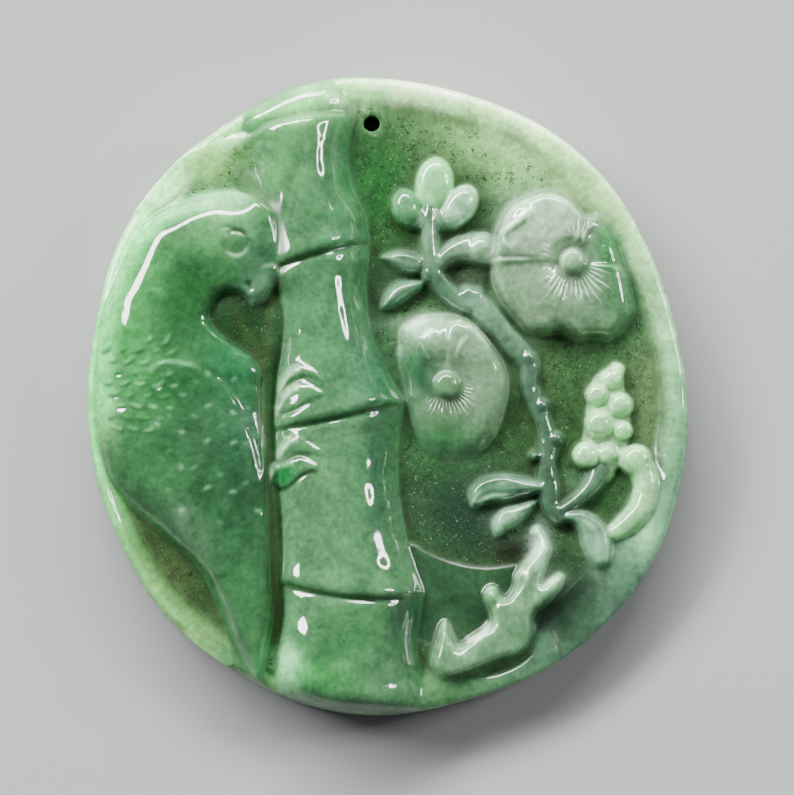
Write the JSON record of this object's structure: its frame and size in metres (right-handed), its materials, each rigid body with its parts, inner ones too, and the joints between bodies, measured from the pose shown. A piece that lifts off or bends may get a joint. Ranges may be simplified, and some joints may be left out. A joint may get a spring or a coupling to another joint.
{
  "type": "carved stone pendant",
  "caption": "Flat oval pendant of green jadeite, carved in relief with a parrot on bamboo, blossoms, berries and a rock, with a cord hole.",
  "frame": {"origin": "middle of the flat back, on the surface that the pendant lies on", "axes": "+Z out of the carved front, +Y from the middle towards the cord hole, +X across the plaque to the right as its front is seen"},
  "size_m": [0.0566, 0.0603, 0.0085],
  "materials": {
    "jadeite": "polished"
  },
  "bodies": {
    "root": {"jade_plaque": "jadeite"}
  },
  "joints": []
}
